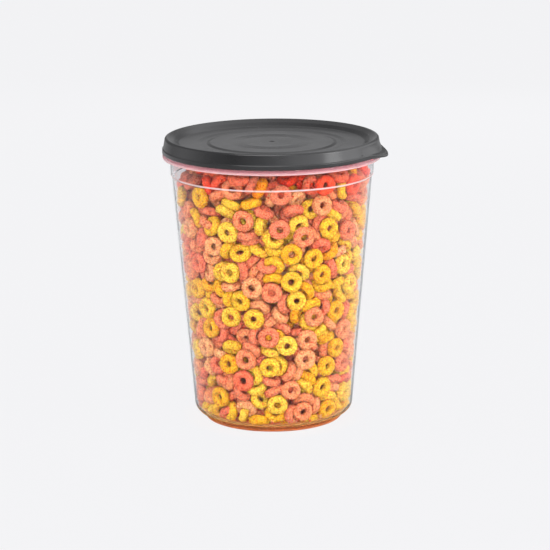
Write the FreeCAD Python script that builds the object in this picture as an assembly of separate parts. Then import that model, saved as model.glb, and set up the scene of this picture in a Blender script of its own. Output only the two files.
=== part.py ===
import FreeCAD, Part
import math
import os

# Food canister of about two litres: a clear tapered tub and an opaque press-on lid with a pull tab.
# Millimetres. Z is up and is the axis of the tub. The origin is the centre of the plane that the
# foot stands on, and the pull tab points along +X. Both pieces are turned from one outline each.
# Rounded corners of the outlines are drawn as a few flats, which keeps the turned faces light.

# ---- tub: wall, shoulder and band -------------------------------------------------------------
TUB_HEIGHT = 192.7            # foot plane to the top of the rim
TUB_WALL = 1.3                # moulded wall, measured across
WALL_TAPER = 4.87             # degrees that each side of the wall leans outwards
NECK_RADIUS = 69.4            # outside of the neck, from the collar up to the rim bead
BAND_HEIGHT = 15.4            # shoulder up to the collar's upper face
BAND_LEAN = 0.5               # how far the band leans out on its way up to the neck
SHOULDER_LEDGE = 0.8          # how far the wall steps out at the shoulder
SHOULDER_RISE = 0.7           # height of the sloped ledge

# ---- tub: base ---------------------------------------------------------------------------------
FLOOR_THICKNESS = 1.4
FLOOR_RECESS = 1.0            # underside of the floor above the foot's edge
BASE_CORNER = 7.4             # outer radius between floor and wall
BASE_FLAT_COUNT = 3           # flats that draw it outside, and one fewer inside
FOOT_HEIGHT = 3.4             # the step that the tub stands on, up to the start of the corner
FOOT_WIDTH = 2.2

# ---- tub: collar and rim -----------------------------------------------------------------------
NECK_HEIGHT = 8.4             # collar's upper face to the top of the rim
COLLAR_REACH = 4.8            # turned-down collar beyond the neck
COLLAR_WALL = 1.2
COLLAR_DROP = 3.2             # upper face to the lower edge of the turned-down lip
RIM_BEAD_PROUD = 1.1          # how far the rim's bead stands out from the neck
RIM_BEAD_HEIGHT = 2.2

# ---- lid: skirt and crest ----------------------------------------------------------------------
LID_WALL = 1.3
LID_CREST = 2.5               # crest above the seat on the rim
LID_GAP = 0.2                 # lower edge of the lid to the collar
BEAD_OVERHANG = 0.2           # the lid's bead stands out past the collar
BEAD_HEIGHT = 2.8
BEAD_PROUD = 0.7              # bead beyond the skirt
BEAD_SLOPE = 0.5
SKIRT_CLEARANCE = 1.0         # rim bead to the skirt
CREST_BEVEL = 0.5             # eased edge between skirt and crest
PLUG_CLEARANCE = 0.4          # plug ring to the inside of the rim
PLUG_WALL = 1.2
PLUG_DEPTH = 4.7              # how far the plug ring reaches below the top of the rim
SNAP_CLEARANCE = 0.35         # snap bead, drawn relaxed, to the rim bead
SNAP_GAP = 0.5                # below the rim bead
SNAP_SLOPE = 1.0              # height of each flank of the snap bead

# ---- lid: recessed panel -----------------------------------------------------------------------
PANEL_DEPTH = 4.2             # crest to panel
RAMP_WIDTH = 5.6              # upper, gentle part of the ramp from crest to panel
RAMP_DROP = 2.0
RAMP_FOOT_WIDTH = 3.5         # lower, steeper part
STACK_GROOVE_DEPTH = 0.6      # groove that takes the foot of a canister stacked on top
STACK_CLEARANCE = 0.5
STACK_GROOVE_SLACK = 2.0      # extra floor inside the foot
STACK_GROOVE_SLOPE = 1.2
GATE_RADIUS = 1.8             # dimple that the moulding gate leaves
GATE_DEPTH = 0.35

# ---- lid: pull tab -----------------------------------------------------------------------------
TAB_REACH = 4.9               # tip beyond the bead
TAB_HALF_ANGLE = 30.0         # degrees from the tab's middle to where it dies into the skirt
TAB_THICKNESS = 1.6
TAB_DROOP = 1.6               # tip below the lower edge of the lid
TAB_RISE = 5.5                # how far up the skirt its hollow upper face starts
TAB_TIP_RADIUS = 25.0

# ---- heights and radii that follow -------------------------------------------------------------
Z_AXIS = FreeCAD.Vector(0, 0, 1)
ORIGIN = FreeCAD.Vector(0, 0, 0)
LEAN = math.tan(math.radians(WALL_TAPER))
COLLAR_TOP = TUB_HEIGHT - NECK_HEIGHT
COLLAR_LIP = COLLAR_TOP - COLLAR_DROP
COLLAR_RADIUS = NECK_RADIUS + COLLAR_REACH
SHOULDER_HEIGHT = COLLAR_TOP - BAND_HEIGHT
SHOULDER_RADIUS = NECK_RADIUS - BAND_LEAN - SHOULDER_LEDGE
RIM_INNER = NECK_RADIUS - TUB_WALL
RIM_OUTER = NECK_RADIUS + RIM_BEAD_PROUD
RIM_BEAD_FOOT = TUB_HEIGHT - RIM_BEAD_HEIGHT
SEAT = TUB_HEIGHT             # the lid's ceiling rests on the rim
CREST = SEAT + LID_CREST
PANEL = CREST - PANEL_DEPTH
LID_EDGE = COLLAR_TOP + LID_GAP
LID_RADIUS = COLLAR_RADIUS + BEAD_OVERHANG
SKIRT_FOOT = LID_EDGE + BEAD_HEIGHT + BEAD_SLOPE
SKIRT_FOOT_RADIUS = LID_RADIUS - BEAD_PROUD
SKIRT_SEAT_RADIUS = RIM_OUTER + SKIRT_CLEARANCE + LID_WALL
PLUG_OUTER = RIM_INNER - PLUG_CLEARANCE
SNAP_RADIUS = RIM_OUTER + SNAP_CLEARANCE


def wall_radius(height):
    """Outside of the tapered wall at a height."""
    return SHOULDER_RADIUS - (SHOULDER_HEIGHT - height) * LEAN


def skirt_radius(height):
    """Outside of the lid's leaning skirt at a height."""
    run = (SKIRT_FOOT_RADIUS - SKIRT_SEAT_RADIUS) / (SEAT - SKIRT_FOOT)
    return SKIRT_SEAT_RADIUS + (SEAT - height) * run


def foot_radius():
    """Outside of the foot: where the rounded base corner meets the floor."""
    return wall_radius(FOOT_HEIGHT) - BASE_CORNER / math.tan(math.radians(90 + WALL_TAPER) / 2)


def base_corner(radius, height, rounding, flats):
    """Points of the round between floor and wall, from the floor up, as (radius, height)."""
    turn = math.radians(90 - WALL_TAPER)
    setback = rounding / math.tan((math.pi - turn) / 2)
    angles = [turn * i / flats for i in range(flats + 1)]
    return [
        (radius - setback + rounding * math.sin(a), height + rounding * (1 - math.cos(a)))
        for a in angles
    ]


def turned(points):
    """The solid of revolution about Z of a closed outline of (radius, height) points."""
    corners = [FreeCAD.Vector(radius, 0, height) for radius, height in points]
    outline = Part.Face(Part.makePolygon(corners + corners[:1]))
    return outline.revolve(ORIGIN, Z_AXIS, 360)


def tub():
    """Foot, base, tapered wall, shoulder, band, turned-down collar, neck and rim in one wall."""
    foot_inner = foot_radius() - FOOT_WIDTH
    floor = FLOOR_RECESS + FLOOR_THICKNESS
    shelf = FOOT_HEIGHT + FLOOR_THICKNESS
    ledge_top = SHOULDER_HEIGHT + SHOULDER_RISE
    ledge_radius = NECK_RADIUS - BAND_LEAN
    lip_inner = COLLAR_RADIUS - COLLAR_WALL
    collar_under = COLLAR_TOP - COLLAR_WALL
    foot = [
        (0, FLOOR_RECESS),
        (foot_inner, FLOOR_RECESS),
        (foot_inner, 0),
        (foot_radius(), 0),
    ]
    outside = base_corner(wall_radius(FOOT_HEIGHT), FOOT_HEIGHT, BASE_CORNER, BASE_FLAT_COUNT) + [
        (SHOULDER_RADIUS, SHOULDER_HEIGHT),
        (ledge_radius, ledge_top),
        (NECK_RADIUS, collar_under),
        (lip_inner, collar_under),
        (lip_inner, COLLAR_LIP),
        (COLLAR_RADIUS, COLLAR_LIP),
        (COLLAR_RADIUS, COLLAR_TOP),
        (NECK_RADIUS, COLLAR_TOP),
    ]
    rim = [
        (NECK_RADIUS, RIM_BEAD_FOOT - RIM_BEAD_PROUD),
        (RIM_OUTER, RIM_BEAD_FOOT),
        (RIM_OUTER, TUB_HEIGHT),
        (RIM_INNER, TUB_HEIGHT),
    ]
    inner_corner = base_corner(
        wall_radius(shelf) - TUB_WALL, shelf, BASE_CORNER - TUB_WALL, BASE_FLAT_COUNT - 1
    )
    well = [(foot_inner, floor), (0, floor)]
    inside = [
        (ledge_radius - TUB_WALL, ledge_top),
        (SHOULDER_RADIUS - TUB_WALL, SHOULDER_HEIGHT),
    ]
    return turned(foot + outside + rim + inside + inner_corner[::-1] + well)


def lid_top():
    """Upper outline of the lid from the crest inwards: ramp, panel, stacking groove and gate dimple."""
    ramp_top = skirt_radius(CREST) - CREST_BEVEL
    ramp_break = ramp_top - RAMP_WIDTH
    groove_outer = foot_radius() + STACK_CLEARANCE
    groove_inner = foot_radius() - FOOT_WIDTH - STACK_GROOVE_SLACK
    groove_floor = PANEL - STACK_GROOVE_DEPTH
    return [
        (ramp_top, CREST),
        (ramp_break, CREST - RAMP_DROP),
        (ramp_break - RAMP_FOOT_WIDTH, PANEL),
        (groove_outer + STACK_GROOVE_SLOPE, PANEL),
        (groove_outer, groove_floor),
        (groove_inner, groove_floor),
        (groove_inner - STACK_GROOVE_SLOPE, PANEL),
        (GATE_RADIUS, PANEL),
        (GATE_RADIUS - GATE_DEPTH, PANEL - GATE_DEPTH),
        (0, PANEL - GATE_DEPTH),
    ]


def lid_shell():
    """Skirt with bead, crest, ramp and panel outside; plug ring, rim channel and snap bead inside."""
    under_panel = PANEL - LID_WALL
    plug_inner = PLUG_OUTER - PLUG_WALL
    plug_tip = SEAT - PLUG_DEPTH
    snap_top = RIM_BEAD_FOOT - RIM_BEAD_PROUD - SNAP_GAP
    snap_foot = snap_top - 2 * SNAP_SLOPE
    crest_side = CREST - CREST_BEVEL
    outside = [
        (LID_RADIUS, LID_EDGE),
        (LID_RADIUS, LID_EDGE + BEAD_HEIGHT),
        (SKIRT_FOOT_RADIUS, SKIRT_FOOT),
        (skirt_radius(crest_side), crest_side),
    ]
    plug = [
        (0, under_panel),
        (skirt_radius(CREST) - CREST_BEVEL - RAMP_WIDTH - RAMP_FOOT_WIDTH, under_panel),
        (plug_inner, SEAT),
        (plug_inner, plug_tip),
        (PLUG_OUTER, plug_tip),
        (PLUG_OUTER, SEAT),
    ]
    channel = [
        (SKIRT_SEAT_RADIUS - LID_WALL, SEAT),
        (skirt_radius(snap_top) - LID_WALL, snap_top),
        (SNAP_RADIUS, snap_top - SNAP_SLOPE),
        (skirt_radius(snap_foot) - LID_WALL, snap_foot),
        (LID_RADIUS - LID_WALL, LID_EDGE),
    ]
    return turned(outside + lid_top() + plug + channel)


def tab():
    """Crescent pull tab: a hollow-topped web turned about Z, trimmed to a pointed plan outline."""
    root = LID_RADIUS - LID_WALL / 2
    upper_root = LID_EDGE + TAB_RISE
    upper_radius = skirt_radius(upper_root)
    tip = LID_RADIUS + TAB_REACH
    tip_under = LID_EDGE - TAB_DROOP
    tip_top = tip_under + TAB_THICKNESS
    hollow = FreeCAD.Vector(LID_RADIUS, 0, tip_top + (upper_root - tip_top) * 0.3)
    corners = [
        FreeCAD.Vector(root, 0, LID_EDGE),
        FreeCAD.Vector(LID_RADIUS, 0, LID_EDGE),
        FreeCAD.Vector(tip, 0, tip_under),
        FreeCAD.Vector(tip, 0, tip_top),
        FreeCAD.Vector(upper_radius, 0, upper_root),
        FreeCAD.Vector(upper_radius - LID_WALL / 2, 0, upper_root),
    ]
    edges = [Part.LineSegment(corners[i], corners[i + 1]).toShape() for i in (0, 1, 2)]
    edges.append(Part.Arc(corners[3], hollow, corners[4]).toShape())
    edges.append(Part.LineSegment(corners[4], corners[5]).toShape())
    edges.append(Part.LineSegment(corners[5], corners[0]).toShape())
    web = Part.Face(Part.Wire(edges))
    web.rotate(ORIGIN, Z_AXIS, -TAB_HALF_ANGLE)
    web = web.revolve(ORIGIN, Z_AXIS, 2 * TAB_HALF_ANGLE)
    return web.common(tab_plan(tip))


def tab_plan(tip):
    """Prism over the tab's plan: the tip's small circle joined to the lid's circle by two tangents."""
    centre = tip - TAB_TIP_RADIUS
    turn = math.acos((LID_RADIUS - TAB_TIP_RADIUS) / centre)
    across = FreeCAD.Vector(math.cos(turn), math.sin(turn), 0)
    down = FreeCAD.Vector(across.x, -across.y, 0)
    middle = FreeCAD.Vector(centre, 0, 0)
    tip_point = FreeCAD.Vector(tip, 0, 0)
    upper = [across * LID_RADIUS, middle + across * TAB_TIP_RADIUS]
    lower = [middle + down * TAB_TIP_RADIUS, down * LID_RADIUS]
    edges = [
        Part.LineSegment(upper[0], upper[1]).toShape(),
        Part.Arc(upper[1], tip_point, lower[0]).toShape(),
        Part.LineSegment(lower[0], lower[1]).toShape(),
        Part.Arc(lower[1], FreeCAD.Vector(-LID_RADIUS, 0, 0), upper[0]).toShape(),
    ]
    plan = Part.Face(Part.Wire(edges))
    return plan.extrude(FreeCAD.Vector(0, 0, CREST))


def lid():
    return lid_shell().fuse(tab()).removeSplitter()


os.makedirs("parts", exist_ok=True)
for name, shape in (("tub", tub()), ("lid", lid())):
    shape.exportStep(f"parts/{name}.step")
    box = shape.BoundBox
    print(f"{name}: {len(shape.Solids)} solid, valid {shape.isValid()}, {shape.Volume / 1000:.1f} cm3, "
          f"{box.XLength:.1f} x {box.YLength:.1f} x {box.ZLength:.1f} mm")
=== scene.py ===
# %% [markdown]
# # A clear food canister, full of breakfast rings
#
# The object is a tapered two-litre tub of clear plastic with a dark lid that presses on. A solid
# model gives its sizes, and this lesson dresses that model: it turns both mouldings again with
# their real roundings, gives them plastics that react to light as the real ones do, and fills the
# tub with puffed cereal rings.

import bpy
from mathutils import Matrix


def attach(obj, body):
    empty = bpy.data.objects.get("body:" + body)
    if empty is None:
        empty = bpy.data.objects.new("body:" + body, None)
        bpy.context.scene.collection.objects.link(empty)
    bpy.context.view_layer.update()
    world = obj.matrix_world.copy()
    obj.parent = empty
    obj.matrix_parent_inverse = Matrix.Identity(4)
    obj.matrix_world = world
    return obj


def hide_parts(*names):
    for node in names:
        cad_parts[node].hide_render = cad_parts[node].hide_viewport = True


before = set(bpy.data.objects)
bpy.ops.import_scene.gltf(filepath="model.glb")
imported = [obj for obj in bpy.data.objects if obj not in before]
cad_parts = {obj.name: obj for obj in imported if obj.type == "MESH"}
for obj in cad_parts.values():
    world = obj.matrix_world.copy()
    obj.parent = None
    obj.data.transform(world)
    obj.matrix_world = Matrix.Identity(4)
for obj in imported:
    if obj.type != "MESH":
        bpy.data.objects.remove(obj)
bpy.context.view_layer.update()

# %% [markdown]
# ## Helpers
#
# Colours are easiest to read as the hex values that a designer writes, but Blender mixes light in
# linear values, so one function turns the first into the second. Another adds a node with its
# settings and its links in a single call, and three more shorten the nodes that work out numbers.
# Nodes could also be added one line at a time, but then the few that matter would be hard to find.

# %% Helpers
import math
import bmesh
import bpy
import numpy as np
from mathutils import Matrix, Vector

MM = 0.001


def linear(hex_colour):
    """Linear RGBA of an sRGB hex colour."""
    channels = [int(hex_colour[i:i + 2], 16) / 255 for i in (1, 3, 5)]
    return [c / 12.92 if c <= 0.04045 else ((c + 0.055) / 1.055) ** 2.4 for c in channels] + [1.0]


def add(tree, kind, inputs=None, **settings):
    """Adds a node. inputs maps a socket's name or number to a value, a socket, or another node,
    whose first output is then meant."""
    node = tree.nodes.new(kind)
    for name, value in settings.items():
        setattr(node, name, value)
    for name, value in (inputs or {}).items():
        if isinstance(value, bpy.types.Node):
            value = value.outputs[0]
        if isinstance(value, bpy.types.NodeSocket):
            tree.links.new(value, node.inputs[name])
        else:
            node.inputs[name].default_value = value
    return node


def maths(tree, operation, *values):
    """Adds a Math node that works on values, sockets or nodes."""
    return add(tree, "ShaderNodeMath", dict(enumerate(values)), operation=operation)


def measured(tree, operation, *vectors):
    """Adds a Vector Math node that makes one number of vectors, and returns its socket."""
    return add(tree, "ShaderNodeVectorMath", dict(enumerate(vectors)),
               operation=operation).outputs["Value"]


def remap(tree, value, start, end, low=0.0, high=1.0):
    """Adds a node that carries start to low and end to high, and keeps within them."""
    return add(tree, "ShaderNodeMapRange", {
        "Value": value, "From Min": start, "From Max": end, "To Min": low, "To Max": high})


def new_material(name):
    """An empty node material and its tree."""
    material = bpy.data.materials.new(name)
    material.use_nodes = True
    material.node_tree.nodes.clear()
    return material, material.node_tree


def new_geometry_tree(name, sockets):
    """A geometry tree with a geometry in and out and named inputs, and what it is given."""
    tree = bpy.data.node_groups.new(name, "GeometryNodeTree")
    tree.interface.new_socket("Geometry", in_out="INPUT", socket_type="NodeSocketGeometry")
    tree.interface.new_socket("Geometry", in_out="OUTPUT", socket_type="NodeSocketGeometry")
    for label, kind in sockets.items():
        tree.interface.new_socket(label, in_out="INPUT", socket_type="NodeSocket" + kind)
    return tree, tree.nodes.new("NodeGroupInput").outputs


def run_tree(base, tree, values, name):
    """Runs a geometry tree on a mesh and returns the result as a plain object called name."""
    source = bpy.data.objects.new(name + "_source", base)
    bpy.context.scene.collection.objects.link(source)
    modifier = source.modifiers.new("nodes", "NODES")
    modifier.node_group = tree
    for item in tree.interface.items_tree:
        if item.in_out == "INPUT" and item.name in values:
            modifier[item.identifier] = values[item.name]
    evaluated = source.evaluated_get(bpy.context.evaluated_depsgraph_get())
    mesh = bpy.data.meshes.new_from_object(evaluated)
    bpy.data.objects.remove(source)
    mesh.name = name
    piece = bpy.data.objects.new(name, mesh)
    bpy.context.scene.collection.objects.link(piece)
    return piece


print("helpers ready: mid grey #808080 is", round(linear("#808080")[0], 3), "in linear light")

# %% [markdown]
# ## Camera
#
# A long lens from well back keeps the tub's sides nearly straight, as in a catalogue picture. The
# camera looks down by 13 degrees, just enough to show the lid's panel. It could be aimed with a
# Track To constraint, but three axes worked out here say exactly where it looks and how it leans.

# %% Camera
VIEW_TURN = math.radians(9.5)  # the pull tab points this far towards the camera
VIEW_DOWN = math.radians(13.17)
VIEW_ROLL = math.radians(0.43)
VIEW_DISTANCE = 1.6103
VIEW_TARGET = Vector((0.0, 0.0, 0.098))
VIEW_ASIDE = 0.0015  # the tub stands a little left of the middle
VIEW_LENS = 153.46  # focal length in mm, in front of a sensor 36 mm wide

across = Vector((math.cos(VIEW_TURN), math.sin(VIEW_TURN), 0.0))
ahead = Vector((-math.sin(VIEW_TURN), math.cos(VIEW_TURN), 0.0))
forward = ahead * math.cos(VIEW_DOWN) - Vector((0, 0, 1)) * math.sin(VIEW_DOWN)
upward = across.cross(forward)
right = across * math.cos(VIEW_ROLL) - upward * math.sin(VIEW_ROLL)
upright = across * math.sin(VIEW_ROLL) + upward * math.cos(VIEW_ROLL)

camera_data = bpy.data.cameras.new("camera")
camera_data.sensor_width = 36.0
camera_data.lens = VIEW_LENS
camera_data.clip_end = 50.0
camera = bpy.data.objects.new("camera", camera_data)
bpy.context.scene.collection.objects.link(camera)
position = VIEW_TARGET + across * VIEW_ASIDE - forward * VIEW_DISTANCE
axes = Matrix((right, upright, -forward)).transposed()
camera.matrix_world = Matrix.Translation(position) @ axes.to_4x4()
bpy.context.scene.camera = camera
bpy.context.scene.view_settings.view_transform = "Standard"
print("camera at", [round(v, 4) for v in position])

# %% [markdown]
# ## Floor, background and light
#
# The object stands in a white studio on a pale paper sweep. A softbox on the right and a large one
# above show in the glossy plastics, and five more lamps light the object without showing there.
# The sweep could be lit until it turns white, but that would wash out the object too. Instead the
# world shows its pale colour to the camera, lights the object gently, and gives reflections a room
# of their own, with bright walls and dark curtains, because a clear wall is only seen by what it
# mirrors and bends. The paper keeps a faint shadow. Under the tub it is painted warm: a painted
# glow that stands in for the light that falls through the cereal.

# %% Studio
BACKGROUND = linear("#f3f3f5")
WORLD_LIGHT = 0.9  # what the white walls give back to the object
PAPER = "#a4a4a6"  # the sweep under the lamps
PAPER_PAINTED_WARM = "#f6b868"  # painted warm glow on the paper, for the light that falls through the cereal
PAPER_SHOWN = "#f5f5f7"  # its even colour away from the shadow
SHOWN_SHARE = 0.96  # the rest is the lamps' light, with the shadow in it
WARM_SPOT = (0.05, 0.065)  # distances from the axis between which the painted warm glow on the paper ends
SHADE_SPOT = (0.05, 0.12)  # and the shaded paper, as reflections and the tub show it
FLOOR_SIZE = 6.0  # half the sweep's width, in metres
FLOOR_DARK = (-0.1, 0.7)  # metres behind the object, and how bright the floor is there
FLOOR_LIGHT = (0.25, 0.88)  # in reflections: the camera's side of the studio is dark
FLOOR_FAR = (0.85, 1.1, 0.57)  # and it dims again, to this share, between these distances
CEILING = (0.3, 1.35)  # brightness of the ceiling in reflections, left and right
CEILING_BLEND = 0.35  # how far left and right of the middle those are reached
WALL_TOP = (0.42, 0.6)  # steepness of view between which walls turn into ceiling
BRIGHTEST = 4.0  # what the top of the walls' curve stands for

# Brightness of the walls round the object, by the angle from the camera's side: 0.5 is towards
# the camera, 0.75 to the right, 0 and 1 behind the object. The dips are dark curtains.
WALLS = [(0.0, 0.5), (0.01, 0.5), (0.03, 0.25), (0.09, 0.25), (0.14, 0.4), (0.2, 1.0), (0.25, 0.95),
         (0.3, 0.4), (0.35, 0.15), (0.42, 0.15), (0.47, 0.4), (0.525, 1.2), (0.58, 2.0),
         (0.636, 2.5), (0.69, 2.5), (0.7, 3.4), (0.78, 3.4), (0.79, 2.4), (0.86, 1.6),
         (0.92, 0.35), (0.975, 0.25), (0.985, 0.5), (1.0, 0.5)]


def make_world():
    """White studio walls with dark curtains between them, which only glossy plastic shows."""
    world = bpy.data.worlds.new("studio_walls")
    world.use_nodes = True
    tree = world.node_tree
    tree.nodes.clear()
    ray = add(tree, "ShaderNodeTexCoord").outputs["Generated"]
    to_right = measured(tree, "DOT_PRODUCT", ray, across)
    to_front = measured(tree, "DOT_PRODUCT", ray, -ahead)
    turn = maths(tree, "ARCTAN2", to_right, to_front)
    turn = remap(tree, turn, -math.pi, math.pi)
    walls = add(tree, "ShaderNodeFloatCurve", {"Value": turn})
    curve = walls.mapping.curves[0]
    for index, (turn_share, level) in enumerate(WALLS):
        place = (turn_share, level / BRIGHTEST)
        point = curve.points[index] if index < 2 else curve.points.new(*place)
        point.location = place
        point.handle_type = "VECTOR"
    walls.mapping.update()
    level = maths(tree, "MULTIPLY", walls, BRIGHTEST)
    height = add(tree, "ShaderNodeSeparateXYZ", {0: ray}).outputs["Z"]
    lift = remap(tree, height, *WALL_TOP)
    ceiling = remap(tree, to_right, -CEILING_BLEND, CEILING_BLEND, *CEILING)
    level = add(tree, "ShaderNodeMix", {0: lift, 2: level, 3: ceiling})
    path = add(tree, "ShaderNodeLightPath").outputs
    soft = add(tree, "ShaderNodeBackground", {"Color": BACKGROUND, "Strength": WORLD_LIGHT})
    clear = add(tree, "ShaderNodeBackground", {"Color": BACKGROUND, "Strength": 1.0})
    room = add(tree, "ShaderNodeBackground", {"Color": BACKGROUND, "Strength": level})
    seen = maths(tree, "MAXIMUM", path["Is Transmission Ray"], path["Is Glossy Ray"])
    lit = maths(tree, "LESS_THAN", path["Diffuse Depth"], 0.5)
    seen = maths(tree, "MULTIPLY", seen, lit)
    mix = add(tree, "ShaderNodeMixShader", {0: seen, 1: soft, 2: room})
    mix = add(tree, "ShaderNodeMixShader", {0: path["Is Camera Ray"], 1: mix, 2: clear})
    add(tree, "ShaderNodeOutputWorld", {0: mix})
    return world


def floor_material():
    """Pale paper: mostly an even colour of its own, a little of the lamps' light and shadow, and a
    painted warm glow under the tub.
    """
    material, tree = new_material("floor_paper")
    path = add(tree, "ShaderNodeLightPath").outputs
    place = add(tree, "ShaderNodeTexCoord").outputs["Object"]
    behind = measured(tree, "DOT_PRODUCT", place, ahead)
    level = remap(tree, behind, FLOOR_DARK[0], FLOOR_LIGHT[0], FLOOR_DARK[1], FLOOR_LIGHT[1])
    far = remap(tree, behind, FLOOR_FAR[0], FLOOR_FAR[1], 1.0, FLOOR_FAR[2])
    level = maths(tree, "MULTIPLY", level, far)
    direct = maths(tree, "ADD", path["Diffuse Depth"], path["Is Camera Ray"])
    direct = maths(tree, "GREATER_THAN", direct, 0.5)
    level = maths(tree, "MAXIMUM", level, direct)
    away = measured(tree, "LENGTH", place)
    # near the axis the paper is painted warm, a painted glow for light through the cereal
    painted_warm_mask = remap(tree, away, *WARM_SPOT)
    paper = add(tree, "ShaderNodeMix", {
        0: painted_warm_mask, 6: linear(PAPER_PAINTED_WARM), 7: linear(PAPER)}, data_type="RGBA")
    paper = add(tree, "ShaderNodeBsdfDiffuse", {"Color": paper.outputs[2]})
    shown = add(tree, "ShaderNodeEmission", {"Color": linear(PAPER_SHOWN), "Strength": level})
    seen = maths(tree, "MAXIMUM", path["Is Camera Ray"], path["Is Transmission Ray"])
    seen = maths(tree, "MAXIMUM", seen, path["Is Glossy Ray"])
    unshaded = remap(tree, away, *SHADE_SPOT)
    even = maths(tree, "MAXIMUM", unshaded, path["Is Camera Ray"])
    seen = maths(tree, "MULTIPLY", seen, even)
    share = maths(tree, "MULTIPLY", seen, SHOWN_SHARE)
    mix = add(tree, "ShaderNodeMixShader", {0: share, 1: paper, 2: shown})
    add(tree, "ShaderNodeOutputMaterial", {"Surface": mix})
    return material


# Name, place (right, behind, up) and size in metres, power in watts, and if reflections show it.
LAMPS = [
    ("softbox_right", (1.1, -0.5, 0.6), (0.4, 0.7), 3.6, True),
    ("softbox_top", (-0.2, -0.6, 1.5), (1.0, 1.0), 10.0, True),
    ("softbox_front", (-0.05, -1.4, 0.25), (0.9, 0.5), 10.0, False),
    ("softbox_high", (0.15, -0.9, 1.1), (0.5, 0.5), 4.0, False),
    ("fill_right", (1.3, -0.2, 0.35), (0.6, 0.6), 6.0, False),
    ("fill_left", (-1.3, -0.2, 0.35), (0.6, 0.6), 4.0, False),
    ("fill_back", (0.2, 1.4, 0.5), (0.8, 0.6), 7.0, False),
]


def area_lamp(name, place, size, power, mirrored):
    """A soft rectangular lamp that faces the tub."""
    data = bpy.data.lights.new(name, "AREA")
    data.shape = "RECTANGLE"
    data.size, data.size_y = size
    data.energy = power
    lamp = bpy.data.objects.new(name, data)
    bpy.context.scene.collection.objects.link(lamp)
    place = across * place[0] + ahead * place[1] + Vector((0, 0, place[2]))
    lamp.location = place
    lamp.rotation_euler = (VIEW_TARGET - place).to_track_quat("-Z", "Y").to_euler()
    lamp.visible_glossy = mirrored


bpy.context.scene.world = make_world()
floor_mesh = bpy.data.meshes.new("floor")
corners = [(x * FLOOR_SIZE, y * FLOOR_SIZE, 0.0) for x, y in ((-1, -1), (1, -1), (1, 1), (-1, 1))]
floor_mesh.from_pydata(corners, [], [(0, 1, 2, 3)])
floor = bpy.data.objects.new("floor", floor_mesh)
bpy.context.scene.collection.objects.link(floor)
floor.data.materials.append(floor_material())
for lamp in LAMPS:
    area_lamp(*lamp)
print("studio: world, floor and", len(bpy.data.lights), "lamps")

# %% [markdown]
# ## Clear plastic
#
# The tub is clarified polypropylene, injection moulded in a polished mould. Light bends in it less
# than in glass, and its surface is glossy. The foot, the shoulder's ledge and the turned-down
# collar leave the mould less polished and look milky, so the haze comes from a table of heights.
# There the haze is tinted warm and pink with painted light, which stands in for the cereal's light.
# A studio camera often wears a polarising filter, which removes most of what a wall mirrors where
# it faces the eye. So there the plastic mainly bends light, and mirrors in full only at a flat
# angle.
# Shadow rays meet a Transparent shader: glass alone would cast a black shadow, because lamps
# cannot be sampled through it.

# %% Clear polypropylene
# Satin share of the surface and the colour of its haze, from each height up, in mm. Its warm and
# pink colours at the foot, the floor, the ledge and the collar are painted light: they stand in
# for the light of the cereal behind them.
SATIN_BANDS = [
    (0.0, 0.3, "#f08850"), (1.2, 0.22, "#ffb880"), (3.0, 0.004, "#fdfdff"),
    (168.8, 0.7, "#ffeeee"), (169.7, 0.004, "#fdfdff"), (181.0, 0.7, "#ffdcdc"),
    (181.7, 0.3, "#ffb8c0"), (183.8, 0.05, "#fdfdff"), (185.0, 0.004, "#fdfdff"),
]
BAND_SCALE = 200  # height that the far end of the haze's ramps stands for
DUSTY_FLOOR = 0.8  # satin share of the floor's top, where sugar dust lies
DUST_PLACE = (2.4, 0.2, 44.7)  # its height, how near that counts, and its radius, in mm
GLOW_SHARE = 0.6  # part of the haze that passes light on and not back
CLEAR_TINT = linear("#fbfdff")
CLEAR_IOR = 1.49
CLEAR_ROUGHNESS = 0.03
UNPOLARISED = 0.25  # share of the mirroring that a polarising filter leaves
MIRROR_FADE = (0.2, 0.4)  # how far the surface turns away while the rest returns


def by_height(tree, height, stops):
    """Colour from each height up. stops holds heights in mm with linear colours."""
    ramp = add(tree, "ShaderNodeValToRGB", {"Fac": height})
    ramp.color_ramp.interpolation = "CONSTANT"
    made = ramp.color_ramp.elements
    made.remove(made[-1])
    for i, (start, colour) in enumerate(stops):
        stop = made.new(start / BAND_SCALE) if i else made[0]
        stop.color = colour
    return ramp


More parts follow.
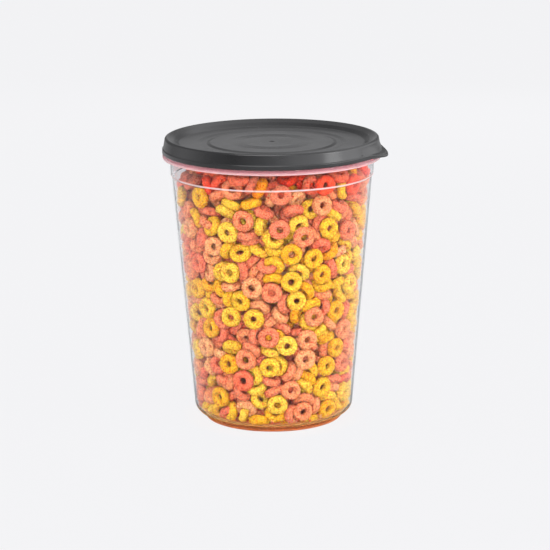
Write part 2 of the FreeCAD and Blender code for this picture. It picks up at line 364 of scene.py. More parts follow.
def clear_polypropylene():
    """Moulded clear plastic: glossy, with hazy bands tinted by painted light, and faint flow waves
    from the moulding.
    """
    material, tree = new_material("clear_polypropylene")
    place = add(tree, "ShaderNodeTexCoord").outputs["Object"]
    waves = add(tree, "ShaderNodeTexNoise", {"Vector": place, "Scale": 60.0, "Detail": 1.0})
    bump = add(tree, "ShaderNodeBump", {"Height": waves, "Strength": 0.06, "Distance": 0.2 * MM})
    plastic = add(tree, "ShaderNodeBsdfPrincipled", {
        "Base Color": CLEAR_TINT, "Roughness": CLEAR_ROUGHNESS, "IOR": CLEAR_IOR,
        "Transmission Weight": 1.0, "Normal": bump})
    through = add(tree, "ShaderNodeBsdfRefraction", {
        "Color": CLEAR_TINT, "Roughness": CLEAR_ROUGHNESS, "IOR": CLEAR_IOR, "Normal": bump})
    turned = add(tree, "ShaderNodeLayerWeight", {"Blend": 0.5, "Normal": bump})
    mirror = remap(tree, turned.outputs["Facing"], *MIRROR_FADE, UNPOLARISED)
    plastic = add(tree, "ShaderNodeMixShader", {0: mirror, 1: through, 2: plastic})
    height = add(tree, "ShaderNodeSeparateXYZ", {0: place}).outputs["Z"]
    height = maths(tree, "DIVIDE", height, BAND_SCALE * MM)
    satin = by_height(tree, height, [(z, (x, x, x, 1)) for z, x, _ in SATIN_BANDS])
    # haze colour: white, but warm or pink painted light at the foot, floor, ledge and collar
    haze_and_painted_light = by_height(tree, height, [(z, linear(c)) for z, _, c in SATIN_BANDS])
    floor_top, nearness, reach = DUST_PLACE
    low = maths(tree, "COMPARE", height, floor_top / BAND_SCALE, nearness / BAND_SCALE)
    flat = add(tree, "ShaderNodeVectorMath", {0: place, 1: (1, 1, 0)}, operation="MULTIPLY")
    radius = measured(tree, "LENGTH", flat)
    inside = maths(tree, "LESS_THAN", radius, reach * MM)
    dust = maths(tree, "MULTIPLY", low, inside)
    dust = maths(tree, "MULTIPLY", dust, DUSTY_FLOOR)
    share = maths(tree, "MAXIMUM", satin, dust)
    frosted = add(tree, "ShaderNodeBsdfDiffuse", {"Color": haze_and_painted_light})
    glow = add(tree, "ShaderNodeBsdfTranslucent", {"Color": haze_and_painted_light})
    frosted = add(tree, "ShaderNodeMixShader", {0: GLOW_SHARE, 1: frosted, 2: glow})
    surface = add(tree, "ShaderNodeMixShader", {0: share, 1: plastic, 2: frosted})
    clear = add(tree, "ShaderNodeBsdfTransparent", {"Color": linear("#f7f9fb")})
    shadow = add(tree, "ShaderNodeLightPath").outputs["Is Shadow Ray"]
    mix = add(tree, "ShaderNodeMixShader", {0: shadow, 1: surface, 2: clear})
    add(tree, "ShaderNodeOutputMaterial", {"Surface": mix})
    return material


CLEAR_PLASTIC = clear_polypropylene()
print("material:", CLEAR_PLASTIC.name)

# %% [markdown]
# ## Turning a moulding from its outline
#
# Both mouldings are round, so each is one outline carried round the axis. A Screw modifier
# does that too, but a node tree can also round each corner by its own radius first: every point of
# the outline carries its rounding, and Fillet Curve reads it. Two extra points beside each
# rounding keep the long straight faces flat in the shading.

# %% The turning tree
SWEEP_RADIUS = 0.1  # radius of the circle that the outline is carried along
SUPPORT = 0.25  # extra point this far beyond a rounding, in mm


def turning_tree():
    """Outline in, turned shell out. The outline's x is the radius and its y is the height."""
    tree, given = new_geometry_tree("turn_an_outline", {
        "Segments": "Int", "Flats": "Int", "Material": "Material"})
    outline = add(tree, "GeometryNodeMeshToCurve", {"Mesh": given["Geometry"]})
    rounding = add(tree, "GeometryNodeInputNamedAttribute", {"Name": "rounding"}, data_type="FLOAT")
    rounded = add(tree, "GeometryNodeFilletCurve", {
        "Curve": outline, "Count": given["Flats"], "Radius": rounding,
        "Limit Radius": True}, mode="POLY")
    circle = add(tree, "GeometryNodeCurvePrimitiveCircle", {
        "Resolution": given["Segments"], "Radius": SWEEP_RADIUS}, mode="RADIUS")
    path = add(tree, "GeometryNodeSetCurveNormal", {"Curve": circle}, mode="Z_UP")
    swept = add(tree, "GeometryNodeCurveToMesh", {"Curve": path, "Profile Curve": rounded})
    closed = add(tree, "GeometryNodeMergeByDistance", {"Geometry": swept, "Distance": 0.001 * MM})
    smooth = add(tree, "GeometryNodeSetShadeSmooth", {"Geometry": closed})
    real = add(tree, "GeometryNodeRealizeInstances", {"Geometry": smooth})
    done = add(tree, "GeometryNodeSetMaterial", {"Geometry": real, "Material": given["Material"]})
    add(tree, "NodeGroupOutput", {0: done})
    return tree


def outline_mesh(name, corners):
    """Mesh line of (radius, height, rounding) corners in mm, with points beside the roundings."""
    points = []
    for i, (radius, height, rounding) in enumerate(corners):
        here = Vector((radius, height))
        beside = [Vector(corners[j][:2]) - here for j in (i - 1, i + 1)
                  if rounding and 0 <= j < len(corners)]
        if len(beside) < 2:
            points.append((here, rounding))
            continue
        turn = math.pi - beside[0].angle(beside[1])
        reach = rounding * math.tan(turn / 2) + SUPPORT
        before, after = ([(here + step.normalized() * reach, 0.0)]
                         if step.length > 2 * reach + SUPPORT else [] for step in beside)
        points += before + [(here, rounding)] + after
    mesh = bpy.data.meshes.new(name)
    # the sweep carries an outline's y downwards, so heights go in with their sign turned
    places = [((p.x - 1000 * SWEEP_RADIUS) * MM, -p.y * MM, 0.0) for p, _ in points]
    mesh.from_pydata(places, [(i, i + 1) for i in range(len(places) - 1)], [])
    attribute = mesh.attributes.new("rounding", "FLOAT", "POINT")
    attribute.data.foreach_set("value", [rounding * MM for _, rounding in points])
    return mesh


def measure(piece):
    """Prints a piece's size, faces, open edges and volume, and turns it outwards if need be."""
    shape = bmesh.new()
    shape.from_mesh(piece.data)
    if shape.calc_volume(signed=True) < 0:
        bmesh.ops.reverse_faces(shape, faces=shape.faces)
        shape.to_mesh(piece.data)
    open_edges = sum(1 for edge in shape.edges if not edge.is_manifold)
    places = np.array([vertex.co for vertex in shape.verts]) * 1000
    print(f"{piece.name}: {len(shape.faces)} faces, {open_edges} open edges, "
          f"{shape.calc_volume() * 1e6:.1f} cm3, from {places.min(axis=0).round(1)} "
          f"to {places.max(axis=0).round(1)} mm")
    shape.free()


TURN = turning_tree()
print("tree:", TURN.name, "with", len(TURN.nodes), "nodes")

# %% [markdown]
# ## The tub
#
# One wall runs from the foot ring over the rounded base and up the tapered side to a small ledge,
# the shoulder, which stops stacked tubs from jamming. Above it a band leads to the collar, whose
# edge turns down, and to the neck with the bead that the lid closes on. The heights and radii are
# those of the solid model, and each corner has the rounding that such a moulding has. Only the
# well inside the foot is steeper here, because its side decides what the clear foot shows.

# %% Tub
# Sizes in mm. A pair is a radius and a height, and a rounding comes after them in the outline.
WALL = 1.3
TAPER_ANGLE = 4.87  # degrees that each side of the wall leans outwards
TAPER = math.tan(math.radians(TAPER_ANGLE))
FOOT_HEIGHT = 3.4
FOOT_WIDTH = 2.2
FLOOR = (1.0, 2.4)  # underside and top of the floor inside the foot
SHELF = 4.8  # top of the floor over the foot's outer step
WELL_SLOPE = 0.9  # how far the well's side leans between floor and shelf
BASE_ROUNDING = 7.4
SHOULDER = (68.1, 168.9)
LEDGE = (68.9, 169.6)  # where the shoulder's sloped ledge ends
NECK = 69.4
COLLAR = 74.2  # outside and inside of the turned-down lip
COLLAR_INSIDE = 73.0
COLLAR_LIP = 181.1  # lower edge of the lip, and the collar's two faces
COLLAR_UNDER = 183.1
COLLAR_TOP = 184.3
RIM = 192.7
RIM_BEAD = 70.5
RIM_BEAD_FOOT = (189.4, 190.5)  # heights between which the bead slopes out of the neck
TUB_SEGMENTS = 192
TUB_FLATS = 6  # flats to each rounding


def wall_outside(height):
    """Outside radius of the tapered wall, in mm."""
    return SHOULDER[0] - (SHOULDER[1] - height) * TAPER


FOOT_OUTER = wall_outside(FOOT_HEIGHT) - BASE_ROUNDING / math.tan(
    math.radians(90 + TAPER_ANGLE) / 2)
FOOT_INNER = FOOT_OUTER - FOOT_WIDTH
tub_outline = [
    (0, FLOOR[0], 0),
    (FOOT_INNER, FLOOR[0], 0.4),
    (FOOT_INNER, 0, 0.4),
    (FOOT_OUTER, 0, 0.6),
    (FOOT_OUTER, FOOT_HEIGHT, 0.25),
    (wall_outside(FOOT_HEIGHT), FOOT_HEIGHT, BASE_ROUNDING - 0.4),
    (*SHOULDER, 0.5),
    (*LEDGE, 0.5),
    (NECK, COLLAR_UNDER, 0.5),
    (COLLAR_INSIDE, COLLAR_UNDER, 0.6),
    (COLLAR_INSIDE, COLLAR_LIP, 0.35),
    (COLLAR, COLLAR_LIP, 0.45),
    (COLLAR, COLLAR_TOP, 0.8),
    (NECK, COLLAR_TOP, 0.6),
    (NECK, RIM_BEAD_FOOT[0], 0.6),
    (RIM_BEAD, RIM_BEAD_FOOT[1], 0.5),
    (RIM_BEAD, RIM, 0.6),
    (NECK - WALL, RIM, 0.5),
    (LEDGE[0] - WALL, LEDGE[1], 0.4),
    (SHOULDER[0] - WALL, SHOULDER[1], 0.4),
    (wall_outside(SHELF) - WALL, SHELF, BASE_ROUNDING - WALL - 0.2),
    (FOOT_INNER + WELL_SLOPE, SHELF, 0.5),
    (FOOT_INNER, FLOOR[1], 0.5),
    (0, FLOOR[1], 0),
]
tub = run_tree(outline_mesh("tub_outline", tub_outline), TURN,
               {"Segments": TUB_SEGMENTS, "Flats": TUB_FLATS, "Material": CLEAR_PLASTIC},
               "clear_tub")
measure(tub)
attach(tub, "tub")
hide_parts("tub")

# %% [markdown]
# ## Lid plastic
#
# The lid is dark low-density polyethylene, soft enough to stretch over the rim. Its mould is
# finely blasted, so it is satin: nearly black where it faces the eye, and grey where it reflects
# the white room at a flat angle. A plain dark colour would look like a hole, so the roughness and
# a very fine grain carry the look.

# %% Dark polyethylene
DARK_TONES = ("#1d1d1e", "#242425")  # the plastic, and where handling has worn it
DARK_ROUGHNESS = (0.2, 0.27)
DARK_IOR = 1.51
GRAIN = 0.45 * MM
WEAR = 22 * MM


def dark_polyethylene():
    """Moulded polyethylene: dark grey, satin, with a blasted grain and faint handling marks."""
    material, tree = new_material("dark_polyethylene")
    place = add(tree, "ShaderNodeTexCoord").outputs["Object"]
    grain = add(tree, "ShaderNodeTexNoise", {
        "Vector": place, "Scale": 1 / GRAIN, "Detail": 3.0, "Roughness": 0.6})
    wear = add(tree, "ShaderNodeTexNoise", {"Vector": place, "Scale": 1 / WEAR, "Detail": 6.0})
    tone = add(tree, "ShaderNodeValToRGB", {"Fac": wear})
    for stop, position, colour in zip(tone.color_ramp.elements, (0.3, 0.75), DARK_TONES):
        stop.position = position
        stop.color = linear(colour)
    gloss = remap(tree, wear, 0.3, 0.7, *DARK_ROUGHNESS)
    bump = add(tree, "ShaderNodeBump", {"Height": grain, "Strength": 0.12, "Distance": 0.05 * MM})
    plastic = add(tree, "ShaderNodeBsdfPrincipled", {
        "Base Color": tone, "Roughness": gloss, "IOR": DARK_IOR, "Normal": bump})
    add(tree, "ShaderNodeOutputMaterial", {"Surface": plastic})
    return material


DARK_PLASTIC = dark_polyethylene()
print("material:", DARK_PLASTIC.name)

# %% [markdown]
# ## The lid
#
# The lid is turned from its own outline: a skirt that ends in a bead, a rounded crest, a ramp down
# to the panel, and in the panel a soft-edged groove that takes the foot of the next canister. Fine
# rings round the middle are left by the cutter that made the mould, and the dimple in the middle
# by the gate that the plastic came through. Underneath, a plug ring and the skirt hold the rim
# between them, and a small bead inside the skirt clicks under the rim. The skirt gets more points
# than its straight side needs, because the next step bends it.

# %% Lid
# Sizes in mm. A pair is a radius and a height.
LID_WALL = 1.3
LID_EDGE = 184.5
LID_RADIUS = 74.4
BEAD_TOP = 187.35
BEAD_LEAN = 0.1  # how far the bead's side leans in on its way up
SKIRT_FOOT = (73.7, 187.8)
CREST = 195.2
CREST_PEAK = 0.55  # the crest's sharp corner lies this much above its round
SKIRT_TOP = 72.3
RAMP_BREAK = (66.24, 193.2)  # the ramp turns steeper here
PANEL_RADIUS = 62.74
PANEL = 191.0
GROOVE = (50.6, 47.4, 44.2, 41.8)  # radii of its outer slope and of its inner slope
GROOVE_FLOOR = 190.3
PLUG = (66.5, 67.7, 188.0)  # the plug ring's inside and outside, and its tip's height
CHANNEL = 71.5  # inside of the skirt at the rim
SNAP_BEAD = [(72.2, 188.9), (70.85, 187.9), (72.57, 186.9)]
FINE_RINGS = (21.4, 23.2, 25.0, 26.8, 28.6)
FINE_RING_DEPTH = 0.12
FINE_RING_SLOPE = 0.5
FINE_RING_MARGIN = 1.2  # flat panel beyond the first and the last ring
GATE = (1.9, 1.5, 0.35)  # the dimple's radii above and below, and its depth
LID_SEGMENTS = 384
LID_FLATS = 5  # flats to each rounding


def on_skirt(height):
    """Outside radius of the skirt, in mm."""
    share = (height - SKIRT_FOOT[1]) / (CREST - SKIRT_FOOT[1])
    return SKIRT_FOOT[0] + (SKIRT_TOP - SKIRT_FOOT[0]) * share


def lid_outline():
    """Corners of the lid from the axis below, round the skirt, to the axis on top."""
    below = [
        (0, PANEL - LID_WALL, 0),
        (PANEL_RADIUS, PANEL - LID_WALL, 2.0),
        (PLUG[0], RIM, 0.6),
        (PLUG[0], PLUG[2], 0.4),
        (PLUG[1], PLUG[2], 0.4),
        (PLUG[1], RIM, 0.3),
        (CHANNEL, RIM, 0.5),
        *[(*corner, 0.3) for corner in SNAP_BEAD],
        (LID_RADIUS - LID_WALL, LID_EDGE, 0.2),
    ]
    bead = [(LID_RADIUS, LID_EDGE, 0.4), (LID_RADIUS, 185.2, 0.5),
            (LID_RADIUS - BEAD_LEAN, BEAD_TOP, 0.5)]
    ledge = [(73.95, 187.5, 0), (73.85, 187.6, 0), (73.77, 187.7, 0), (*SKIRT_FOOT, 0)]
    skirt = [(on_skirt(z), z, 0) for z in (188.1, 188.5, 188.9, 189.3, 189.7, 190.1)]
    crest = [
        (on_skirt(CREST), CREST + CREST_PEAK, 1.7),
        (*RAMP_BREAK, 4.0),
        (PANEL_RADIUS, PANEL, 2.5),
    ]
    groove = [(GROOVE[0], PANEL, 3.0), (GROOVE[1], GROOVE_FLOOR, 2.0),
              (GROOVE[2], GROOVE_FLOOR, 1.5), (GROOVE[3], PANEL, 2.0)]
    rings = [(max(FINE_RINGS) + FINE_RING_MARGIN, PANEL, 0)]
    for radius in reversed(FINE_RINGS):
        rings += [(radius + FINE_RING_SLOPE, PANEL, 0), (radius, PANEL - FINE_RING_DEPTH, 0),
                  (radius - FINE_RING_SLOPE, PANEL, 0)]
    rings += [(min(FINE_RINGS) - FINE_RING_MARGIN, PANEL, 0)]
    gate = [(GATE[0], PANEL, 0.2), (GATE[1], PANEL - GATE[2], 0.2), (0, PANEL - GATE[2], 0)]
    return below + bead + ledge + skirt + crest + groove + rings + gate


lid = run_tree(outline_mesh("lid_outline", lid_outline()), TURN,
               {"Segments": LID_SEGMENTS, "Flats": LID_FLATS, "Material": DARK_PLASTIC},
               "dark_lid")
measure(lid)

# %% [markdown]
# ## The pull tab
#
# The tab is part of the same moulding: along a short arc the bead is drawn out to a blunt point, it
# droops a little, and the skirt above it runs into it in a hollow curve. A shallow nick in the
# skirt marks either end of it. It could be a separate shape joined with a Boolean, but moving the
# points that are already there keeps one skin with no seam. Its plan, a small circle joined to the
# lid's circle by two straight lines, is exactly that of the solid model.

# %% Pull tab
TAB_REACH = 4.9  # all in mm
TAB_TIP = 25.0  # radius of the tab's blunt end, in plan
TAB_DROOP = 1.6
TAB_THICKNESS = 1.7
TAB_ROOT = 190.0  # height on the skirt where its hollow upper face starts
TAB_WEB = 0.35  # how far the hollow web stands out where the tab starts
TAB_WEB_SPREAD = math.radians(0.6)  # and how far it goes on beyond the tab's end
NICK_DEPTH = 0.4
NICK_PLACE = math.radians(1.2)  # beyond the tab's end
NICK_WIDTH = math.radians(0.5)
NICK_FOOT, NICK_HEIGHT = 185.6, 3.4
STILL_RADIUS = 73.15  # points inside it keep their place
BEAD_HEIGHT = 2.8


def tab_plan(angle):
    """Radius of the lid's edge in plan at angles from the middle of the tab, in mm."""
    centre = LID_RADIUS + TAB_REACH - TAB_TIP
    start = math.acos((LID_RADIUS - TAB_TIP) / centre)
    end = math.atan2(TAB_TIP * math.sin(start), centre + TAB_TIP * math.cos(start))
    angle = np.abs(angle)
    line = LID_RADIUS / np.cos(np.minimum(start - angle, 1.0))
    inside = np.maximum(TAB_TIP ** 2 - (centre * np.sin(angle)) ** 2, 0)
    tip = centre * np.cos(angle) + np.sqrt(inside)
    return np.where(angle > start, LID_RADIUS, np.where(angle > end, line, tip)), start


def draw_out_tab(piece):
    """Moves the points of the bead and the foot of the skirt out to the tab."""
    mesh = piece.data
    points = np.empty(len(mesh.vertices) * 3)
    mesh.vertices.foreach_get("co", points)
    points = points.reshape(-1, 3) * 1000
    radius, height = np.hypot(points[:, 0], points[:, 1]), points[:, 2]
    angle = np.arctan2(points[:, 1], points[:, 0])
    edge, start = tab_plan(angle)
    reach = edge - LID_RADIUS
    share = reach / TAB_REACH
    skin = np.where(height < BEAD_TOP + 0.05, LID_RADIUS, on_skirt(height)) - 0.03
    outer = (radius - STILL_RADIUS) / np.maximum(skin - STILL_RADIUS, 0.05)
    outer = np.clip(outer, 0, 1) * ((height < TAB_ROOT) & (height > LID_EDGE - 0.1))
    # up: how far below the tab's root a point of the skirt lies; along: how far out on the ledge
    up = np.clip((TAB_ROOT - height) / (TAB_ROOT - SKIRT_FOOT[1]), 0, 1)
    along = np.clip((radius - SKIRT_FOOT[0] - 0.05) / 0.5, 0, 1)
    along = np.where(height > SKIRT_FOOT[1] - 0.02, 0, np.where(height < BEAD_TOP - 0.1, 1, along))
    out = 0.16 * up ** 2 + 0.84 * along
    web = TAB_WEB * np.sin(np.pi * 0.62 * up) * (1 - along)
    web *= np.abs(angle) < start + TAB_WEB_SPREAD
    beside = (np.abs(angle) - start - NICK_PLACE) / NICK_WIDTH
    nick = np.sin(np.pi * np.clip((height - NICK_FOOT) / NICK_HEIGHT, 0, 1))
    nick *= NICK_DEPTH * np.exp(-beside ** 2)
    top_drop = TAB_DROOP + BEAD_HEIGHT - TAB_THICKNESS
    level = np.clip((height - LID_EDGE) / BEAD_HEIGHT, 0, 1)
    drop = np.where(height < BEAD_TOP - 0.05, TAB_DROOP + (top_drop - TAB_DROOP) * level,
                    top_drop * (0.68 * up ** 1.5 + 0.32 * along))
    radius_new = radius + outer * (reach * out + web - nick)
    height_new = height - outer * share * drop
    points[:, 0] = radius_new * np.cos(angle)
    points[:, 1] = radius_new * np.sin(angle)
    points[:, 2] = height_new
    mesh.vertices.foreach_set("co", (points / 1000).ravel())
    mesh.update()


draw_out_tab(lid)
measure(lid)
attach(lid, "lid")
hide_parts("lid")

# %% [markdown]
# ## Packing the cereal
#
# Sixteen hundred puffed rings fill the tub to a heap that falls away on the left, and how they lie
# decides whether it looks real. Rings set out on a grid look stacked by hand. Blender's rigid
# bodies could drop them in, but that takes minutes and differs between machines. Here each ring is
# six small balls on a circle, for the sum only: the rings start small and at random, grow until
# they touch, push each other and the wall away, and then sink and spread under their own weight.
# Near the wall they slowly turn their flat side to it, as rings that slide down a wall do.

# %% Packing
RING_RADIUS = 4.65  # circle through the middle of a ring's dough, in mm
BALL = 2.9  # half thickness of the dough, in mm
AIR = 0.2  # kept free between the rings and the plastic, in mm
BALLS = 6
RING_COUNT = 1600
FILL_HEIGHT = 188.0
HEAP_EDGE, HEAP_FALL = 40, 0.65  # from this far to the left the heap falls, and how steeply
SINK_STEP = 0.10  # how far the rings sink and spread in one step, in mm
SPREAD = 0.09
SPREAD_TOP, SPREAD_FADE = 170, 30  # the spread ends at this height, over this much below it
FACING_ZONE = 11  # this near the wall, rings turn their flat side to it
FACING_RATE = 0.03  # how far they turn in one step
FACING_LIMIT = 0.75  # only those that nearly face it already
START_SCALE = 0.45  # size of the rings before they grow
REST_GROWTH = 0.8  # share of the growing steps after which they have grown
LONGEST_MOVE = 1.5  # of a ball in one step, in mm


def nearby(centres, reach):
    """Pairs of rings whose centres are within about reach, found with a grid of cells."""
    cell = np.floor(centres / reach).astype(int)
    cell -= cell.min(axis=0) - 1
    size = cell.max(axis=0) + 2
    key = cell[:, 0] + size[0] * (cell[:, 1] + size[1] * cell[:, 2])
    order = np.argsort(key, kind="stable")
    ranked = key[order]
    first, second = [], []
    for dx, dy, dz in np.ndindex(3, 3, 3):
        step = (dx - 1) + size[0] * ((dy - 1) + size[1] * (dz - 1))
        low = np.searchsorted(ranked, key + step, "left")
        count = np.searchsorted(ranked, key + step, "right") - low
        a = np.repeat(np.arange(len(key)), count)
        b = order[np.arange(count.sum()) - np.repeat(np.cumsum(count) - count, count)
                  + np.repeat(low, count)]
        first.append(a[a < b])
        second.append(b[a < b])
    first, second = np.concatenate(first), np.concatenate(second)
    near = np.linalg.norm(centres[first] - centres[second], axis=1) < reach
    return first[near], second[near]


def wall_push(balls, size):
    """How far each ball must move to clear the wall, the base, the floor and the heap's top."""
    radius = np.maximum(np.hypot(balls[:, 0], balls[:, 1]), 1e-6)
    height = balls[:, 2]
    lean = math.hypot(1, TAPER)
    size = size + AIR
    over = (radius - (wall_outside(height) - WALL)) / lean + size
    over = np.maximum(over, 0)
    move_r = -over / lean
    move_z = over * TAPER / lean
    floor = np.interp(radius, [FOOT_INNER - 1, FOOT_OUTER], [FLOOR[1], SHELF])
    move_z += np.maximum(floor + size - height, 0)
    corner = BASE_ROUNDING - WALL
    corner_r = wall_outside(SHELF + corner) - WALL - corner * lean
    dr, dz = radius - corner_r, SHELF + corner - height
    away = np.hypot(dr, dz)
    out = np.where((dr > 0) & (dz > 0), np.maximum(away + size - corner, 0), 0)
    move_r -= out * dr / np.maximum(away, 1e-6)
    move_z += out * dz / np.maximum(away, 1e-6)
    to_left = -balls @ np.array(across)
    heap_top = FILL_HEIGHT - HEAP_FALL * np.maximum(to_left - HEAP_EDGE, 0)
    move_z -= np.maximum(height + size - heap_top, 0)
    move = np.empty_like(balls)
    move[:, 0] = balls[:, 0] / radius * move_r
    move[:, 1] = balls[:, 1] / radius * move_r
    move[:, 2] = move_z
    return move


def pack_rings(count, grow_steps, sink_steps, seed=7):
    """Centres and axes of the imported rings, in mm."""
    rng = np.random.default_rng(seed)
    height = rng.uniform(FLOOR[1] + 3, FILL_HEIGHT - 3, count * 3)
    size_at = wall_outside(height) - WALL
    keep = rng.uniform(0, 1, count * 3) < (size_at / size_at.max()) ** 2
    height = height[keep][:count]
    turn = rng.uniform(0, 2 * math.pi, count)
    radius = np.sqrt(rng.uniform(0, 1, count)) * (wall_outside(height) - WALL - 8)
    centre = np.stack([radius * np.cos(turn), radius * np.sin(turn), height], 1)
    axis = rng.normal(size=(count, 3))
    axis /= np.linalg.norm(axis, axis=1)[:, None]
    side = np.cross(axis, rng.normal(size=(count, 3)))
    side /= np.linalg.norm(side, axis=1)[:, None]
    spokes = np.arange(BALLS) * 2 * math.pi / BALLS
    cosines, sines = np.cos(spokes)[None, :, None], np.sin(spokes)[None, :, None]
    pairs = None
    for step in range(grow_steps + sink_steps):
        growing = step < grow_steps
        grown = min(1.0, step / (REST_GROWTH * grow_steps))
        scale = START_SCALE + (1 - START_SCALE) * grown
        ball, reach = BALL * scale, RING_RADIUS * scale
        if not growing:
            pull = max(0.0, 1 - 1.3 * (step - grow_steps) / sink_steps)
            outward = centre * (1, 1, 0)
            away = np.linalg.norm(outward, axis=1)[:, None]
            outward /= away
            spread = SPREAD * np.clip((SPREAD_TOP - centre[:, 2:]) / SPREAD_FADE, 0.1, 1)
            centre += pull * (spread * outward - (0, 0, SINK_STEP))
            facing = (axis * outward).sum(axis=1)[:, None]
            near = away > wall_outside(centre[:, 2:]) - WALL - FACING_ZONE
            flat = near & (np.abs(facing) > FACING_LIMIT)
            axis = axis + FACING_RATE * flat * (np.sign(facing) * outward - axis)
        arms = reach * (cosines * side[:, None] + sines * np.cross(axis, side)[:, None])
        balls = (centre[:, None] + arms).reshape(-1, 3)
        if step % 6 == 0:
            a, b = nearby(centre, 2 * (reach + ball) + 1.5)
            i = a[:, None, None] * BALLS + np.arange(BALLS)[None, :, None]
            j = b[:, None, None] * BALLS + np.arange(BALLS)[None, None, :]
            i, j = np.broadcast_arrays(i, j)
            i, j = i.ravel(), j.ravel()
            close = np.linalg.norm(balls[i] - balls[j], axis=1) < 2 * ball + 2.0
            pairs = i[close], j[close]
        i, j = pairs
        gap = balls[i] - balls[j]
        distance = np.maximum(np.linalg.norm(gap, axis=1), 1e-6)
        touching = distance < 2 * ball
        i, j, gap, distance = i[touching], j[touching], gap[touching], distance[touching]
        push = gap * ((2 * ball - distance) / distance * 0.5)[:, None]
        move = wall_push(balls, ball)
        for k in range(3):
            move[:, k] += np.bincount(i, push[:, k], len(balls))
            move[:, k] -= np.bincount(j, push[:, k], len(balls))
        move = move.reshape(count, BALLS, 3)
        length = np.linalg.norm(move, axis=2, keepdims=True)
        move *= np.minimum(1, LONGEST_MOVE / np.maximum(length, 1e-9))
        centre += move.mean(axis=1) * 2.0
        twist = np.cross(arms, move).sum(axis=1) / (3 * reach ** 2)
        twist -= axis * (axis * twist).sum(axis=1)[:, None] / 2
        axis = axis + np.cross(twist, axis) * 1.5
        side = side + np.cross(twist, side) * 1.5
        axis /= np.linalg.norm(axis, axis=1)[:, None]
        side -= axis * (axis * side).sum(axis=1)[:, None]
        side /= np.linalg.norm(side, axis=1)[:, None]
        centre = np.round(centre, 5)
    overlap = np.maximum(2 * ball - distance, 0)
    print(f"{count} rings, top at {balls[:, 2].max() + ball:.1f} mm, "
          f"overlap mean {overlap.mean():.2f} and largest {overlap.max():.2f} mm")
    return centre, axis


GROW, SINK = ((260, 260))
centres, ring_axes = pack_rings(RING_COUNT, GROW, SINK)

# %% [markdown]
# ## The shape of a ring
#
# Each ring is a short rope of dough closed on itself and puffed, about 15 mm across with a hole of
# 4 mm, and no two are alike. Hundreds of modelled rings would be too heavy, so one node tree
# sweeps a small oval round a circle, sets a copy on every packed point, turns it to its axis and
# then pushes the skin about with noise, which falls differently on every copy.

# %% Ring tree
def ring_tree():
    """Points with an axis and a scale in, puffed rings out."""
    tree, given = new_geometry_tree("puffed_rings", {
        "Ring Radius": "Float", "Dough Width": "Float", "Dough Height": "Float",
        "Lump Size": "Float", "Lump Depth": "Float", "Material": "Material"})
    circle = add(tree, "GeometryNodeCurvePrimitiveCircle", {
        "Resolution": 12, "Radius": given["Ring Radius"]}, mode="RADIUS")
    path = add(tree, "GeometryNodeSetCurveNormal", {"Curve": circle}, mode="Z_UP")
    oval = add(tree, "GeometryNodeCurvePrimitiveCircle", {
        "Resolution": 7, "Radius": 1.0}, mode="RADIUS")
    size = add(tree, "ShaderNodeCombineXYZ", {
        "X": given["Dough Width"], "Y": given["Dough Height"], "Z": 1.0})
    oval = add(tree, "GeometryNodeTransform", {"Geometry": oval, "Scale": size})
    ring = add(tree, "GeometryNodeCurveToMesh", {"Curve": path, "Profile Curve": oval})
    axis, growth = (add(tree, "GeometryNodeInputNamedAttribute", {"Name": name},
                        data_type="FLOAT_VECTOR") for name in ("axis", "growth"))
    turned = add(tree, "FunctionNodeAlignRotationToVector", {"Vector": axis}, axis="Z")
    copies = add(tree, "GeometryNodeInstanceOnPoints", {
        "Points": given["Geometry"], "Instance": ring, "Rotation": turned, "Scale": growth})
    real = add(tree, "GeometryNodeRealizeInstances", {"Geometry": copies})
    place = add(tree, "GeometryNodeInputPosition")
    lumps = add(tree, "ShaderNodeTexNoise", {
        "Vector": place, "Scale": given["Lump Size"], "Detail": 1.0})
    centred = add(tree, "ShaderNodeVectorMath", {
        0: lumps.outputs["Color"], 1: (0.5, 0.5, 0.5)}, operation="SUBTRACT")
    offset = add(tree, "ShaderNodeVectorMath", {
        0: centred, "Scale": given["Lump Depth"]}, operation="SCALE")
    pushed = add(tree, "GeometryNodeSetPosition", {"Geometry": real, "Offset": offset})
    smooth = add(tree, "GeometryNodeSetShadeSmooth", {"Geometry": pushed})
    done = add(tree, "GeometryNodeSetMaterial", {"Geometry": smooth, "Material": given["Material"]})
    add(tree, "NodeGroupOutput", {0: done})
    return tree


RINGS = ring_tree()
print("tree:", RINGS.name, "with", len(RINGS.nodes), "nodes")
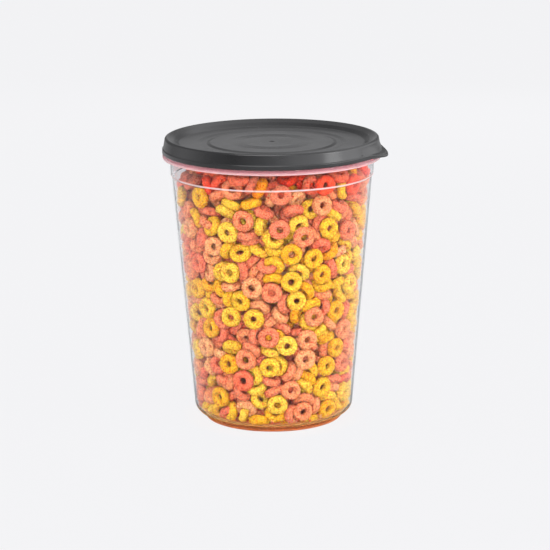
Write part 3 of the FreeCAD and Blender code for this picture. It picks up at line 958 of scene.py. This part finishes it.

# %% [markdown]
# ## Cereal colours
#
# The rings are puffed corn dough, coloured and glazed with sugar: matte, rough like fine bread
# crust, blotched, sprinkled with tiny darker specks, and a little see-through at their edges. Each
# ring carries a number for its shade of colour, so one material serves a whole colour family. More
# of the rings that show are lemon low down and on the right, while those deep inside are mostly
# coral, which warms the gaps. The top layer, dim and red-lit under the lid, gets painted shade: its
# rings are mostly coral, in the deepest, reddest colours of each family. Crumbs of both colours lie
# in the corner of the base.

# %% Cereal
def puffed_cereal(name, shades, speck):
    """Puffed, sugared dough. shades runs over the family's colours and speck is the dot colour."""
    material, tree = new_material(name)
    place = add(tree, "ShaderNodeTexCoord").outputs["Object"]
    shade = add(tree, "ShaderNodeAttribute", attribute_name="shade").outputs["Fac"]
    family = add(tree, "ShaderNodeValToRGB", {"Fac": shade})
    ramp = family.color_ramp
    while len(ramp.elements) < len(shades):
        ramp.elements.new(0.5)
    for i, colour in enumerate(shades):
        ramp.elements[i].position = i / (len(shades) - 1)
        ramp.elements[i].color = linear(colour)
    blotch = add(tree, "ShaderNodeTexNoise", {
        "Vector": place, "Scale": 1 / (1.6 * MM), "Detail": 3.0, "Roughness": 0.75})
    blotch = remap(tree, blotch, 0.32, 0.68, 0.5, 1.25)
    tone = add(tree, "ShaderNodeMix", {
        0: 1.0, 6: family, 7: blotch}, data_type="RGBA", blend_type="MULTIPLY")
    dots = add(tree, "ShaderNodeTexNoise", {
        "Vector": place, "Scale": 1 / (0.9 * MM), "Detail": 1.0})
    dots = remap(tree, dots, 0.54, 0.7)
    speckled = add(tree, "ShaderNodeMix", {
        0: dots, 6: tone.outputs[2], 7: linear(speck)}, data_type="RGBA")
    crust = add(tree, "ShaderNodeTexNoise", {
        "Vector": place, "Scale": 1 / (1.5 * MM), "Detail": 3.0, "Roughness": 0.65})
    pores = add(tree, "ShaderNodeTexVoronoi", {
        "Vector": place, "Scale": 1 / (2.0 * MM)}, feature="SMOOTH_F1")
    height = maths(tree, "ADD", crust, pores)
    bump = add(tree, "ShaderNodeBump", {"Height": height, "Strength": 1.0, "Distance": 1.0 * MM})
    dough = add(tree, "ShaderNodeBsdfPrincipled", {
        "Base Color": speckled.outputs[2], "Roughness": 0.7, "Normal": bump,
        "Specular IOR Level": 0.1, "Subsurface Weight": 0.3, "Subsurface Scale": 2.0 * MM,
        "Subsurface Radius": (1.0, 0.3, 0.1)})
    add(tree, "ShaderNodeOutputMaterial", {"Surface": dough})
    return material


CRUMBS = 260  # in each colour
CRUMB_SIZE = 1.5  # half a crumb's size, in mm
CRUMB_SCALE = 0.2  # of a ring's size
CRUMB_ZONE = (38, 53)  # radii between which the crumbs lie
TOP_SHADE_START, TOP_SHADE_DEPTH = 164, 8  # the top layer's painted shade starts at this height and grows over this much, in mm
DEEP = 11  # rings this far from the wall lie behind others
# the last, deepest colour of each family goes mostly to the top layer, as painted shade
LEMON_SHADES = ("#f2c846", "#eebb30", "#f0ae20", "#ff8c10")
CORAL_SHADES = ("#f2ac70", "#ec905e", "#e87e5a", "#ff4018")


def painted_top_shade(height):
    """0 below the top layer of the cereal, 1 in it. The top layer's deep colours are painted shade.
    """
    return np.clip((height - TOP_SHADE_START) / TOP_SHADE_DEPTH, 0, 1)


def crumbs(rng):
    """Places of crumbs that lie on the floor and in the rounded corner, in mm."""
    turn = rng.uniform(0, 2 * math.pi, CRUMBS)
    radius = rng.uniform(*CRUMB_ZONE, CRUMBS)
    height = FLOOR[1] + CRUMB_SIZE + rng.exponential(1.5, CRUMBS)
    place = np.stack([radius * np.cos(turn), radius * np.sin(turn), height], 1)
    for _ in range(3):
        place += wall_push(place, CRUMB_SIZE)
    return place


def cereal_piece(name, chosen, material, rng):
    """One piece that holds the chosen packed rings, and crumbs of the same colour."""
    count = len(chosen) + CRUMBS
    place = np.concatenate([centres[chosen], crumbs(rng)])
    axis = np.concatenate([ring_axes[chosen], rng.normal(size=(CRUMBS, 3))])
    growth = 1 + rng.uniform(-0.07, 0.03, (count, 3))
    growth[len(chosen):] *= CRUMB_SCALE
    # top: the top layer, whose deepest colours are painted shade
    top = painted_top_shade(place[:, 2])
    shade = rng.uniform(0, 0.75, count) * (1 - 0.5 * top) + 0.7 * top
    points = bpy.data.meshes.new(name + "_points")
    points.from_pydata((place * MM).tolist(), [], [])
    for label, kind, field, values in (("axis", "FLOAT_VECTOR", "vector", axis),
                                       ("growth", "FLOAT_VECTOR", "vector", growth),
                                       ("shade", "FLOAT", "value", shade)):
        points.attributes.new(label, kind, "POINT").data.foreach_set(
            field, values.astype(np.float32).ravel())
    piece = run_tree(points, RINGS, {
        "Ring Radius": 4.75 * MM, "Dough Width": 2.7 * MM, "Dough Height": 3.05 * MM,
        "Lump Size": 1 / (5.5 * MM), "Lump Depth": 1.6 * MM, "Material": material}, name)
    measure(piece)
    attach(piece, "tub")
    return piece


rng = np.random.default_rng(21)
towards_right = centres @ np.array(across)
lemon_share = 0.46 + 0.0022 * towards_right - 0.0012 * (centres[:, 2] - 90)
# fewer lemon rings in the top layer make it redder: part of its painted shade
lemon_share -= 0.3 * painted_top_shade(centres[:, 2])
depth = wall_outside(centres[:, 2]) - WALL - np.hypot(centres[:, 0], centres[:, 1])
lemon_share[depth > DEEP] *= 0.2
is_lemon = rng.uniform(0, 1, RING_COUNT) < lemon_share
LEMON = puffed_cereal("puffed_corn_lemon", LEMON_SHADES, "#c84810")
CORAL = puffed_cereal("puffed_corn_coral", CORAL_SHADES, "#c02818")
cereal_piece("cereal_lemon", np.flatnonzero(is_lemon), LEMON, rng)
cereal_piece("cereal_coral", np.flatnonzero(~is_lemon), CORAL, rng)
